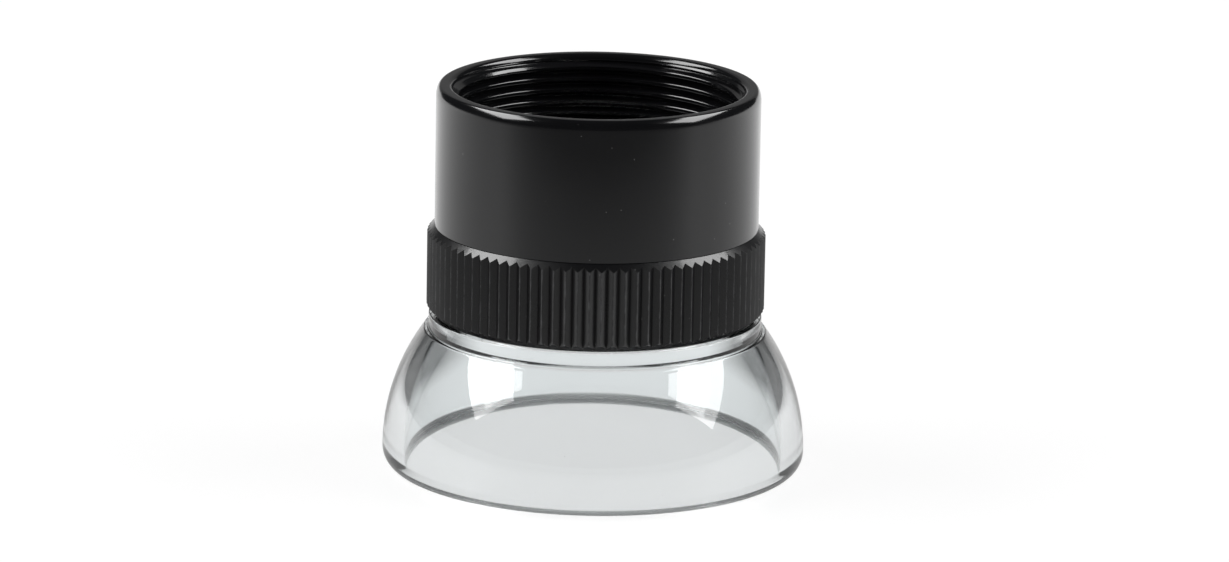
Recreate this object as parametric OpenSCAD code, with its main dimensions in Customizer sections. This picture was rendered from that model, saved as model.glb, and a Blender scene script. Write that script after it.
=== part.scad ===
// Viewing loupe: a lens barrel and its knurled ring screw up and down on a clear bell skirt.
// Millimetres, +Z up, origin at the centre of the foot.

/* [Skirt] */
// Widest diameter of the clear bell
skirt_d = 36.5; // [30.5:0.1:44]
// Height of the crease where the bell meets its flange
bell_h = 12; // [10:0.1:15]
// Height of the bell's widest line above the foot
belly_z = 1.4; // [1.25:0.05:2.5]
// Wall of the bell, measured level
bell_wall = 1.85; // [1.5:0.05:2.3]
// Width of the flat land that the foot stands on
foot_land = 0.6; // [0.4:0.05:1]
// Height of the chamfer round the foot
foot_chamfer_h = 1.2; // [0.8:0.05:1.2]
// Height of the flange that the ring comes down to
flange_h = 1.4; // [0.9:0.05:1.6]
// Step from the flange out to the top of the bell
crease_step = 0.37; // [0.2:0.01:0.6]
// Height of the threaded neck above the flange
neck_h = 4.5; // [3.6:0.1:5.4]

/* [Barrel] */
// Nominal diameter of the eyepiece thread
thread_d = 25; // [20.8:0.1:30]
// Wall of the barrel outside the eyepiece thread
barrel_wall = 1.45; // [1.2:0.05:1.8]
// Height of the plain barrel above the ring
barrel_rise = 12.3; // [10.2:0.1:15]
// Chamfer that stands for the rounded outer edge of the lip
lip_edge = 0.4; // [0.2:0.05:0.6]
// Depth of the lead-in below the top of the lip
lead_in = 0.6; // [0.3:0.05:0.9]
// Wall under the lens stack that carries it
seat_t = 0.8; // [0.6:0.05:1.2]

/* [Knurled ring] */
// Height of the ring
ring_h = 7.65; // [6.4:0.05:9.2]
// How far the ring stands out from the barrel
ring_step = 0.625; // [0.5:0.005:0.8]
// Chamfer round the top of the ring
ring_top_chamfer = 0.62; // [0.3:0.01:0.7]
// Chamfer round the bottom of the ring
ring_low_chamfer = 0.75; // [0.4:0.05:0.9]
// Number of knurl grooves
teeth = 90; // [60:1:110]
// Depth of a knurl groove
knurl_depth = 0.35; // [0.2:0.01:0.45]

/* [Lenses] */
// Radius of the curved face of each lens
curve_r = 25.5; // [21.5:0.1:31]
// Thickness of a lens at its edge
lens_edge = 0.94; // [0.8:0.02:1.2]
// Gap between the two curved faces
lens_gap = 0.3; // [0.2:0.05:0.6]
// How much smaller the lenses are than the eyepiece thread, on diameter
lens_inset = 4; // [3:0.1:5]
// Thickness of the black field stop
stop_t = 0.3; // [0.2:0.05:0.5]
// Radial width of the stop, the spacer and the seat under the lenses
rim_w = 1.2; // [0.8:0.05:1.6]
// Height of the retaining ring
retainer_h = 1.3; // [1:0.05:1.6]
// Width of the two spanner slots in the retaining ring
slot_w = 1.2; // [0.8:0.1:1.6]
// Depth of the spanner slots
slot_depth = 0.6; // [0.4:0.05:0.8]

/* [Fits] */
// Radial gap of the focusing thread, with its teeth left out
thread_gap = 0.05; // [0.02:0.01:0.1]
// Gap between the ring and the flange when screwed right down
rest_gap = 0.05; // [0.03:0.01:0.1]
// Gap between the neck of the skirt and the barrel when screwed right down
neck_gap = 0.3; // [0.2:0.05:0.5]
// Radial gap round the lenses, the spacer and the stop
lens_fit = 0.05; // [0.03:0.01:0.1]
// Gap above and below each piece of the lens stack
stack_gap = 0.02; // [0.01:0.005:0.03]
// Radial gap round the retaining ring, with its thread left out
retainer_fit = 0.03; // [0.02:0.01:0.1]
// Glue gap between the barrel and the ring
bond_gap = 0.02; // [0.01:0.005:0.03]

/* [Hidden] */
$fn = 96;
eps = 0.01;                                   // overlap of cutting shapes
over = 1;                                     // reach of a cutting shape past a face
thread_depth = 0.54;                          // depth of a 1 mm pitch thread
focus_depth = 0.3;                            // depth of the finer, two-start focusing thread
fit_share = 0.6;                              // of a thread's depth, where its plain fit lies
neck_wall = 0.57;                             // wall of the threaded neck
neck_inset = 0.35;                            // neck thread's crest inside the barrel's side
flange_inset = 0.2;                           // flange inside the ring's side
spigot_inset = 0.45;                          // barrel's lower end inside the barrel's side
throat_slope = 1.25;                          // rise over run where the bell closes to the neck
retainer_room = 0.1;                          // room over the retaining ring in its plain fit
small_chamfer = 0.3;

// Radii, from the eyepiece thread outwards
eye_r = thread_d / 2 - thread_depth;
lip_r = thread_d / 2 + small_chamfer / 6;
barrel_r = thread_d / 2 + barrel_wall;
ring_r = barrel_r + ring_step;
flange_r = ring_r - flange_inset;
spigot_r = barrel_r - spigot_inset;
neck_r = barrel_r - neck_inset - focus_depth * fit_share;
neck_bore_r = neck_r - neck_wall;
lens_r = (thread_d - lens_inset) / 2;
stop_r = lens_r - rim_w;
retainer_bore_r = thread_d / 2 - thread_depth * fit_share;

// Radii of the bell
foot_r = skirt_d / 2;
bell_top_r = flange_r + crease_step;

// Heights of the skirt and the ring
flange_top = bell_h + flange_h;
neck_top = flange_top + neck_h;
ring_z = flange_top + rest_gap;
ring_top = ring_z + ring_h;

// Heights of the barrel and the lens stack
barrel_z = neck_top + neck_gap;
barrel_top = ring_top + barrel_rise;
lens_rise = cap_height(lens_r);               // height of the curved cap on each lens
lens_t = lens_edge + lens_rise;
stop_z = barrel_z + seat_t + stack_gap;
field_z = stop_z + stop_t + stack_gap;
eye_z = field_z + lens_t + lens_gap;
retainer_z = eye_z + lens_t + stack_gap;
thread_floor = retainer_z - lens_edge / 4;    // where the lens bore opens into the thread
free_thread_z = retainer_z + retainer_h + retainer_room;
spacer_low = field_z + lens_t - cap_height(stop_r) + stack_gap;
spacer_high = eye_z + cap_height(stop_r) - stack_gap;

// Height of a cap of the lens's curve that is 2 * r across.
function cap_height(r) = curve_r - sqrt(curve_r ^ 2 - r ^ 2);

// Centre radius of the arc that is upright at r_low and has come in to r_high at a rise of h.
function arc_centre(r_low, r_high, h) =
    (r_low ^ 2 - r_high ^ 2 - h ^ 2) / (2 * (r_low - r_high));

// Filled outline of a bell: an arc from r_low at belly_z up to r_high at bell_h.
module bell_outline(r_low, r_high) {
    centre = arc_centre(r_low, r_high, bell_h - belly_z);
    intersection() {
        translate([centre, belly_z])
            circle(r = r_low - centre, $fn = 240);
        square([r_low + over, bell_h]);
    }
}

// The skirt's solid outline: bell, flange and neck, with the foot chamfered.
module skirt_outline() {
    difference() {
        bell_outline(foot_r, bell_top_r);
        polygon([[foot_r - bell_wall + foot_land, -eps], [foot_r + over, -eps],
                 [foot_r + over, foot_chamfer_h], [foot_r, foot_chamfer_h]]);
    }
    translate([0, bell_h - eps])
        square([flange_r, flange_h + eps]);
    polygon([[0, flange_top - eps], [neck_r, flange_top - eps],
             [neck_r, neck_top - small_chamfer], [neck_r - small_chamfer, neck_top],
             [0, neck_top]]);
}

// The space inside the skirt: bell, throat and neck bore.
module skirt_hollow() {
    throat_r = bell_top_r - bell_wall;
    bell_outline(foot_r - bell_wall, throat_r);
    translate([0, -over])
        square([foot_r - bell_wall - eps * 2, over + eps * 3]);
    polygon([[0, bell_h - eps], [throat_r, bell_h - eps], [throat_r, bell_h],
             [neck_bore_r, bell_h + (throat_r - neck_bore_r) * throat_slope],
             [neck_bore_r, neck_top + over], [0, neck_top + over]]);
}

// Clear bell skirt that stands on the film and carries the focusing thread on its neck.
module clear_skirt() {
    color([0.86, 0.93, 0.95, 0.4])
        rotate_extrude()
            difference() {
                skirt_outline();
                skirt_hollow();
            }
}

// One V groove of the knurl, pointing inwards.
module knurl_groove() {
    half_pitch = ring_r * tan(180 / teeth);
    polygon([[ring_r - knurl_depth, 0], [ring_r + eps * 2, half_pitch * 0.9],
             [ring_r + eps * 2, -half_pitch * 0.9]]);
}

// Ring that the fingers turn. It is glued to the barrel and screws on the neck.
module knurled_ring() {
    color([0.06, 0.06, 0.065])
        difference() {
            translate([0, 0, ring_z]) {
                cylinder(r1 = ring_r - ring_low_chamfer, r2 = ring_r, h = ring_low_chamfer);
                translate([0, 0, ring_low_chamfer])
                    cylinder(r = ring_r, h = ring_h - ring_low_chamfer - ring_top_chamfer);
                translate([0, 0, ring_h - ring_top_chamfer])
                    cylinder(r1 = ring_r, r2 = ring_r - ring_top_chamfer, h = ring_top_chamfer);
            }
            translate([0, 0, ring_z - over])
                cylinder(r = neck_r + thread_gap, h = ring_h + over);
            translate([0, 0, barrel_z - eps])
                cylinder(r = spigot_r + bond_gap, h = ring_h + over);
            translate([0, 0, ring_z - over])
                linear_extrude(height = ring_h + 2 * over)
                    for (i = [0 : teeth - 1])
                        rotate(i * 360 / teeth)
                            knurl_groove();
        }
}

// Barrel: a spigot inside the ring, the lens bore, and the eyepiece thread as a plain bore, at
// its plain fit round the retaining ring and at its crests above.
module barrel_tube() {
    lens_bore_r = lens_r + lens_fit;
    color([0.05, 0.05, 0.055])
        rotate_extrude()
            polygon([[stop_r, barrel_z], [spigot_r, barrel_z],
                     [spigot_r, ring_top + bond_gap], [barrel_r, ring_top + bond_gap],
                     [barrel_r, barrel_top - lip_edge], [barrel_r - lip_edge, barrel_top],
                     [lip_r, barrel_top], [eye_r, barrel_top - lead_in],
                     [eye_r, free_thread_z], [retainer_bore_r, free_thread_z],
                     [retainer_bore_r, thread_floor], [lens_bore_r, thread_floor],
                     [lens_bore_r, barrel_z + seat_t], [stop_r, barrel_z + seat_t]]);
}

// Slotted ring that clamps the lens stack from above.
module retaining_ring() {
    ring_out_r = retainer_bore_r - retainer_fit;
    color([0.05, 0.05, 0.055])
        translate([0, 0, retainer_z])
            difference() {
                cylinder(r = ring_out_r, h = retainer_h);
                translate([0, 0, -over])
                    cylinder(r = stop_r, h = retainer_h + 2 * over);
                translate([-thread_d, -slot_w / 2, retainer_h - slot_depth])
                    cube([2 * thread_d, slot_w, slot_depth + over]);
            }
}

// A flat ring of the lens stack, from its height z up.
module stack_ring(z, height, inner) {
    translate([0, 0, z])
        difference() {
            cylinder(r = lens_r, h = height);
            translate([0, 0, -over])
                cylinder(r = inner, h = height + 2 * over);
        }
}

// Thin black stop under the lower lens.
module field_stop() {
    color([0.04, 0.04, 0.04])
        stack_ring(stop_z, stop_t, stop_r - small_chamfer);
}

// Black ring that keeps the two lenses apart. Its inner corners touch their curves.
module lens_spacer() {
    color([0.05, 0.05, 0.055])
        stack_ring(spacer_low, spacer_high - spacer_low, stop_r);
}

// A plano-convex lens with its flat face down at z = 0.
module plano_lens() {
    intersection() {
        cylinder(r = lens_r, h = lens_t + over);
        translate([0, 0, lens_t - curve_r])
            sphere(r = curve_r, $fn = 240);
    }
}

// Lower lens, curved side up.
module field_lens() {
    color([0.8, 0.9, 0.92, 0.4])
        translate([0, 0, field_z])
            plano_lens();
}

// Upper lens, curved side down.
module eye_lens() {
    color([0.8, 0.9, 0.92, 0.4])
        translate([0, 0, eye_z + lens_t])
            mirror([0, 0, 1])
                plano_lens();
}

clear_skirt();
knurled_ring();
barrel_tube();
retaining_ring();
field_stop();
field_lens();
lens_spacer();
eye_lens();
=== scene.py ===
"""Viewing loupe: the visual model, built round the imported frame.

A black lens barrel and its knurled ring screw up and down on a clear bell skirt. The lens
stack lies in the barrel: field stop, field lens, spacer, eye lens and retaining ring.
Lengths are metres, +Z is the optical axis, and the origin is the centre of the foot.
"""
import logging
import math
from dataclasses import dataclass
from enum import Enum

import bmesh
import bpy
from mathutils import Matrix, Vector


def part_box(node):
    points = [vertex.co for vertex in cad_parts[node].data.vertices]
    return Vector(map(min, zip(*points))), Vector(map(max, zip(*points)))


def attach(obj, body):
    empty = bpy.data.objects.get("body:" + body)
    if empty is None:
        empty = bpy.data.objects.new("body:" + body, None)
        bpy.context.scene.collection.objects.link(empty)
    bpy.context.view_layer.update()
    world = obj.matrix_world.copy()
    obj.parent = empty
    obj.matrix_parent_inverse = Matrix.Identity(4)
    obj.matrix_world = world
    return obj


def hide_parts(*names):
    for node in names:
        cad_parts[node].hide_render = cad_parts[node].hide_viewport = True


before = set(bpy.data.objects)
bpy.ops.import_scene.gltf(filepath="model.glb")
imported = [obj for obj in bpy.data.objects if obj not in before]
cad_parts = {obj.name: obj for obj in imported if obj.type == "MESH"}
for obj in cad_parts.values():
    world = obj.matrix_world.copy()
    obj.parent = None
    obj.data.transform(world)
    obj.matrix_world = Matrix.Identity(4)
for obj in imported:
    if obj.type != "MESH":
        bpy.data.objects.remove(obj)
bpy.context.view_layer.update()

MM = 0.001
TAU = 2 * math.pi
SEGMENTS = 320            # steps round a turned surface
ROWS_PER_PITCH = 16       # rows of a thread's wall in each pitch, so that its corners lie on rows
FLANK = 0.3125            # share of the pitch that a thread's flank takes up
FOCUS_PITCH = 0.5         # pitch of the focusing thread, in millimetres
FOCUS_STARTS = 2          # starts of the focusing thread
PHASE_OFFSET = 64.0       # whole turns that keep a thread's phase above zero
SAME_PLACE = 0.8e-6       # vertices closer than this are one
SHARP = math.radians(32)  # a bend above this is a hard edge

LOG = logging.getLogger("loupe")
Point = tuple[float, float]
Colour = tuple[float, float, float]
BLACK: Colour = (0.0, 0.0, 0.0)
WHITE: Colour = (1.0, 1.0, 1.0)


# ---------------------------------------------------------------- turned outlines


@dataclass(frozen=True)
class Corner:
    """A corner of a turned outline, in millimetres, rounded by its own radius."""

    radius: float
    height: float
    rounding: float = 0.0


@dataclass(frozen=True)
class Span:
    """The height and radius that a CAD node takes up, in millimetres."""

    low: float
    high: float
    radius: float

    @classmethod
    def of(cls, node: str) -> "Span":
        """Reads a node's span from the frame.

        Args:
            node: Name of the CAD node.

        Returns:
            Its lowest and highest place and its radius.
        """
        low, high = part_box(node)
        return cls(low[2] / MM, high[2] / MM, max(high[0], high[1]) / MM)


def arc_centre(r_low: float, r_high: float, rise: float) -> float:
    """Centre radius of an arc that is upright at r_low and has come in to r_high.

    Args:
        r_low: Radius where the arc is upright.
        r_high: Radius at the arc's upper end.
        rise: Height from the first to the second.

    Returns:
        The radius of the arc's centre, which lies level with the upright end.
    """
    return (r_low**2 - r_high**2 - rise**2) / (2 * (r_low - r_high))


def arc(r_low: float, z_low: float, r_high: float, z_high: float, start: float, steps: int) -> list[Corner]:
    """Corners along a bell's arc, from a start height up to its top.

    Args:
        r_low: Radius where the arc is upright.
        z_low: Height where the arc is upright.
        r_high: Radius at the top.
        z_high: Height of the top.
        start: Height at which the corners begin.
        steps: Number of steps.

    Returns:
        The corners, from start to z_high.
    """
    centre = arc_centre(r_low, r_high, z_high - z_low)
    size = r_low - centre
    first = math.asin((start - z_low) / size)
    last = math.asin((z_high - z_low) / size)
    angles = [first + (last - first) * i / steps for i in range(steps + 1)]
    return [Corner(centre + size * math.cos(a), z_low + size * math.sin(a)) for a in angles]


def ellipse(centre: Point, reach: Point, first: float, last: float, steps: int = 14) -> list[Corner]:
    """Corners along part of an ellipse.

    Args:
        centre: Radius and height of its centre.
        reach: How far it reaches from its centre, in radius and in height.
        first: Angle of the first corner, in degrees above level.
        last: Angle of the last corner.
        steps: Number of steps.

    Returns:
        The corners.
    """
    angles = [math.radians(first + (last - first) * i / steps) for i in range(steps + 1)]
    return [Corner(centre[0] + reach[0] * math.cos(a), centre[1] + reach[1] * math.sin(a)) for a in angles]


def rounded(corners: list[Corner], closed: bool, steps: int = 5) -> list[Point]:
    """Outline points in metres, with every rounded corner turned into an arc.

    Args:
        corners: The outline's corners, in order.
        closed: True if the last corner joins the first.
        steps: Steps in each rounding.

    Returns:
        The points as (radius, height).
    """
    points: list[Point] = []
    count = len(corners)
    for i, corner in enumerate(corners):
        here = Vector((corner.radius, corner.height))
        is_end = not closed and i in (0, count - 1)
        if corner.rounding <= 0 or is_end:
            points.append((here.x * MM, here.y * MM))
            continue
        back = corners[i - 1]
        ahead = corners[(i + 1) % count]
        to_back = Vector((back.radius, back.height)) - here
        to_ahead = Vector((ahead.radius, ahead.height)) - here
        half = to_back.angle(to_ahead) / 2
        reach = min(corner.rounding / math.tan(half), 0.48 * to_back.length, 0.48 * to_ahead.length)
        size = reach * math.tan(half)
        first = here + to_back.normalized() * reach
        last = here + to_ahead.normalized() * reach
        middle = here + (to_back.normalized() + to_ahead.normalized()).normalized() * (size / math.sin(half))
        for k in range(steps + 1):
            spoke = (first - middle).lerp(last - middle, k / steps).normalized() * size
            points.append(((middle + spoke).x * MM, (middle + spoke).y * MM))
    return points


class Solid:
    """A closed mesh put together from turned and generated surfaces."""

    def __init__(self) -> None:
        """Starts an empty solid."""
        self.mesh = bmesh.new()

    def turn(self, points: list[Point], closed: bool) -> None:
        """Adds an outline turned about the axis.

        Args:
            points: The outline as (radius, height), in metres. A point on the axis is a pole.
            closed: True if the last point joins the first.
        """
        rings = []
        for radius, height in points:
            if radius < SAME_PLACE:
                pole = self.mesh.verts.new((0, 0, height))
                rings.append([pole] * SEGMENTS)
                continue
            rings.append([
                self.mesh.verts.new((
                    radius * math.cos(TAU * s / SEGMENTS),
                    radius * math.sin(TAU * s / SEGMENTS),
                    height,
                ))
                for s in range(SEGMENTS)
            ])
        pairs = list(zip(rings, rings[1:]))
        if closed:
            pairs.append((rings[-1], rings[0]))
        for low, high in pairs:
            for s in range(SEGMENTS):
                t = (s + 1) % SEGMENTS
                corners = list(dict.fromkeys((low[s], low[t], high[t], high[s])))
                self.mesh.faces.new(corners)

    def add(self, mesh: bpy.types.Mesh) -> None:
        """Adds a generated mesh and removes it from the file.

        Args:
            mesh: The mesh, in metres, in the row frame.
        """
        self.mesh.from_mesh(mesh)
        bpy.data.meshes.remove(mesh)

    def weld(self) -> None:
        """Makes one vertex of those that share a place."""
        bmesh.ops.remove_doubles(self.mesh, verts=self.mesh.verts, dist=SAME_PLACE)
        bmesh.ops.dissolve_degenerate(self.mesh, edges=self.mesh.edges, dist=SAME_PLACE / 2)

    def open_circle(self, radius: float, height: float) -> list[bmesh.types.BMVert]:
        """The vertices of an open edge that runs round the axis, by angle.

        Args:
            radius: Radius of the edge, in metres.
            height: Its height, in metres.

        Returns:
            The vertices, in order of angle.
        """
        near = 5 * SAME_PLACE
        found = {
            v
            for e in self.mesh.edges if e.is_boundary
            for v in e.verts
            if abs(v.co.z - height) < near and abs(v.co.xy.length - radius) < near
        }
        return sorted(found, key=lambda v: math.atan2(v.co.y, v.co.x) % TAU)

    def close_between(self, first: Point, second: Point) -> None:
        """Fills the ring between two open circles, whatever their numbers of vertices.

        Args:
            first: Radius and height of one circle, in metres.
            second: Radius and height of the other.
        """
        a = self.open_circle(*first)
        b = self.open_circle(*second)

        def angle(loop: list[bmesh.types.BMVert], i: int) -> float:
            """Angle of a loop's vertex, counted on past a full turn."""
            turns, place = divmod(i, len(loop))
            return math.atan2(loop[place].co.y, loop[place].co.x) % TAU + turns * TAU

        i = j = 0
        while i < len(a) or j < len(b):
            if j >= len(b) or (i < len(a) and angle(a, i + 1) <= angle(b, j + 1)):
                self.mesh.faces.new((a[i % len(a)], a[(i + 1) % len(a)], b[j % len(b)]))
                i += 1
            else:
                self.mesh.faces.new((a[i % len(a)], b[(j + 1) % len(b)], b[j % len(b)]))
                j += 1

    def finish(self, name: str, material: bpy.types.Material) -> bpy.types.Object:
        """Turns the surfaces into one object.

        Args:
            name: Name of the piece.
            material: Its finish.

        Returns:
            The object, at the origin, with outward faces.
        """
        self.weld()
        bmesh.ops.recalc_face_normals(self.mesh, faces=self.mesh.faces)
        open_edges = sum(e.is_boundary for e in self.mesh.edges)
        data = bpy.data.meshes.new(name)
        self.mesh.to_mesh(data)
        self.mesh.free()
        data.materials.clear()
        data.materials.append(material)
        for polygon in data.polygons:
            polygon.material_index = 0
            polygon.use_smooth = True
        data.set_sharp_from_angle(angle=SHARP)
        piece = bpy.data.objects.new(name, data)
        bpy.context.scene.collection.objects.link(piece)
        LOG.info("%s: %d faces, %d open edges", name, len(data.polygons), open_edges)
        return piece


# ---------------------------------------------------------------- geometry node trees


class TreeWriter:
    """Writes a node tree, one value at a time."""

    def __init__(self, tree: bpy.types.NodeTree) -> None:
        """Wraps a tree.

        Args:
            tree: The tree to write in.
        """
        self.tree = tree

    def feed(self, socket: bpy.types.NodeSocket, value: object) -> None:
        """Links a socket to another, or gives it a plain value.

        Args:
            socket: The socket to feed.
            value: Another socket, or a value.
        """
        if isinstance(value, bpy.types.NodeSocket):
            self.tree.links.new(value, socket)
        else:
            socket.default_value = value

    def node(self, kind: str, settings: dict[str, object] | None = None, **inputs: object) -> bpy.types.Node:
        """Adds a node.

        Args:
            kind: The node's type.
            settings: The node's own properties.
            **inputs: Values or sockets by input name, with _ for a space.

        Returns:
            The node.
        """
        made = self.tree.nodes.new(kind)
        for key, value in (settings or {}).items():
            setattr(made, key, value)
        for label, value in inputs.items():
            self.feed(made.inputs[label.replace("_", " ")], value)
        return made

    def math(self, operation: str, *values: object, clamp: bool = False) -> bpy.types.NodeSocket:
        """Adds a Math node.

        Args:
            operation: The operation's name.
            *values: Numbers or sockets.
            clamp: True to keep the result from 0 to 1.

        Returns:
            Its result.
        """
        made = self.tree.nodes.new("ShaderNodeMath")
        made.operation = operation
        made.use_clamp = clamp
        for socket, value in zip(made.inputs, values):
            self.feed(socket, value)
        return made.outputs[0]


class GeometryTree(TreeWriter):
    """Writes a Geometry Nodes tree with named inputs."""

    def __init__(self, name: str, inputs: dict[str, str]) -> None:
        """Makes an empty tree.

        Args:
            name: Name of the tree.
            inputs: Each input's name and its socket type.
        """
        super().__init__(bpy.data.node_groups.new(name, "GeometryNodeTree"))
        self.identifiers: dict[str, str] = {}
        for label, kind in inputs.items():
            made = self.tree.interface.new_socket(name=label, in_out="INPUT", socket_type=kind)
            self.identifiers[label] = made.identifier
        self.tree.interface.new_socket(name="Geometry", in_out="OUTPUT", socket_type="NodeSocketGeometry")
        self.group_input = self.tree.nodes.new("NodeGroupInput")

    def input(self, label: str) -> bpy.types.NodeSocket:
        """The socket of a named input."""
        return self.group_input.outputs[label]

    def finish(self, geometry: bpy.types.NodeSocket, material: bpy.types.NodeSocket) -> None:
        """Ends the tree in Realize Instances and Set Material.

        Args:
            geometry: The geometry made so far.
            material: The tree's material input.
        """
        real = self.node("GeometryNodeRealizeInstances", Geometry=geometry)
        dressed = self.node("GeometryNodeSetMaterial", Geometry=real.outputs[0], Material=material)
        output = self.tree.nodes.new("NodeGroupOutput")
        self.tree.links.new(dressed.outputs[0], output.inputs[0])

    def make(self, values: dict[str, object]) -> bpy.types.Mesh:
        """Runs the tree on an empty object and returns the result as a plain mesh.

        Args:
            values: Each input's value, by its name.

        Returns:
            The mesh.
        """
        carrier = bpy.data.objects.new("carrier", bpy.data.meshes.new("carrier"))
        bpy.context.scene.collection.objects.link(carrier)
        modifier = carrier.modifiers.new("rule", "NODES")
        modifier.node_group = self.tree
        for label, value in values.items():
            modifier[self.identifiers[label]] = value
        seen = carrier.evaluated_get(bpy.context.evaluated_depsgraph_get())
        mesh = bpy.data.meshes.new_from_object(seen)
        carrier.modifiers.clear()
        bpy.data.objects.remove(carrier)
        return mesh


class Side(Enum):
    """Which way a thread faces."""

    INSIDE = 1.0
    OUTSIDE = -1.0

    @property
    def flank_start(self) -> float:
        """Share of the pitch from the middle of the root to the crest's edge."""
        return 0.375 if self is Side.INSIDE else 0.4375

    @property
    def shift(self) -> float:
        """Share of the pitch that sets this side's crests in the other side's roots."""
        return 0.0 if self is Side.INSIDE else 0.5


@dataclass(frozen=True)
class Thread:
    """A right-hand screw thread between two plain circles, in millimetres."""

    crest: float
    root: float
    low: float
    low_radius: float
    high: float
    high_radius: float
    side: Side
    pitch: float = 1.0
    starts: int = 1

    def wall(self, tree: GeometryTree, material: bpy.types.Material) -> bpy.types.Mesh:
        """Makes the thread's wall.

        Args:
            tree: The thread tree.
            material: The wall's finish.

        Returns:
            An open mesh whose two ends are plain circles.
        """
        pitches = (self.high - self.low) / self.pitch + 1 + self.starts
        return tree.make({
            "Crest": self.crest * MM,
            "Root": self.root * MM,
            "Low": self.low * MM,
            "Low Radius": self.low_radius * MM,
            "High": self.high * MM,
            "High Radius": self.high_radius * MM,
            "Pitch": self.pitch * MM,
            "Datum": self.side.shift * self.pitch * MM,
            "Side": self.side.value,
            "Flank Start": self.side.flank_start,
            "Starts": self.starts,
            "Rows": math.ceil(pitches * ROWS_PER_PITCH) + 1,
            "Columns": SEGMENTS + 1,
            "Material": material,
        })


def thread_tree() -> GeometryTree:
    """The tree of a thread's wall: a sheet of rows that follow the helix.

    Returns:
        The tree.
    """
    number, count = "NodeSocketFloat", "NodeSocketInt"
    g = GeometryTree("screw_thread", {
        "Crest": number, "Root": number, "Low": number, "Low Radius": number,
        "High": number, "High Radius": number, "Pitch": number, "Datum": number,
        "Side": number, "Flank Start": number, "Starts": count, "Rows": count, "Columns": count,
        "Material": "NodeSocketMaterial",
    })
    low, high, pitch = g.input("Low"), g.input("High"), g.input("Pitch")
    datum, side = g.input("Datum"), g.input("Side")
    sheet = g.node("GeometryNodeMeshGrid", Size_X=1.0, Size_Y=1.0,
                   Vertices_X=g.input("Columns"), Vertices_Y=g.input("Rows"))
    place = g.node("GeometryNodeInputPosition")
    split = g.node("ShaderNodeSeparateXYZ", Vector=place.outputs[0])
    turn = g.math("ADD", split.outputs[0], 0.5)
    row = g.math("MULTIPLY", g.math("ADD", split.outputs[1], 0.5),
                 g.math("SUBTRACT", g.input("Rows"), 1.0))
    whole = g.math("FLOOR", g.math("DIVIDE", g.math("SUBTRACT", low, datum), pitch))
    climb = g.math("MULTIPLY", turn, g.input("Starts"))
    below = g.math("SUBTRACT", whole, g.input("Starts"))
    climbed = g.math("ADD", g.math("ADD", below, g.math("DIVIDE", row, float(ROWS_PER_PITCH))), climb)
    free_height = g.math("ADD", g.math("MULTIPLY", climbed, pitch), datum)
    height = g.math("MINIMUM", g.math("MAXIMUM", free_height, low), high)
    phase = g.math("FRACT", g.math("ADD", PHASE_OFFSET, g.math(
        "SUBTRACT", g.math("DIVIDE", g.math("SUBTRACT", height, datum), pitch), climb)))
    from_root = g.math("ABSOLUTE", g.math("SUBTRACT", phase, 0.5))
    start = g.input("Flank Start")
    flank = g.node("ShaderNodeMapRange", Value=from_root, From_Min=g.math("SUBTRACT", start, FLANK),
                   From_Max=start, To_Min=1.0, To_Max=0.0)
    flank.interpolation_type = "SMOOTHSTEP"
    depth = flank.outputs[0]
    crest, root = g.input("Crest"), g.input("Root")
    tooth = g.math("ADD", crest, g.math("MULTIPLY", depth, g.math("SUBTRACT", root, crest)))
    to_high = g.math("SUBTRACT", g.math("MULTIPLY", g.input("High Radius"), side),
                     g.math("SUBTRACT", high, height))
    to_low = g.math("SUBTRACT", g.math("MULTIPLY", g.input("Low Radius"), side),
                    g.math("SUBTRACT", height, low))
    most = g.math("MAXIMUM", g.math("MULTIPLY", tooth, side), g.math("MAXIMUM", to_high, to_low))
    radius = g.math("MULTIPLY", most, side)
    angle = g.math("MULTIPLY", turn, TAU)
    spot = g.node("ShaderNodeCombineXYZ", X=g.math("MULTIPLY", radius, g.math("COSINE", angle)),
                  Y=g.math("MULTIPLY", radius, g.math("SINE", angle)), Z=height)
    moved = g.node("GeometryNodeSetPosition", Geometry=sheet.outputs[0], Position=spot.outputs[0])
    g.finish(moved.outputs[0], g.input("Material"))
    return g


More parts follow.
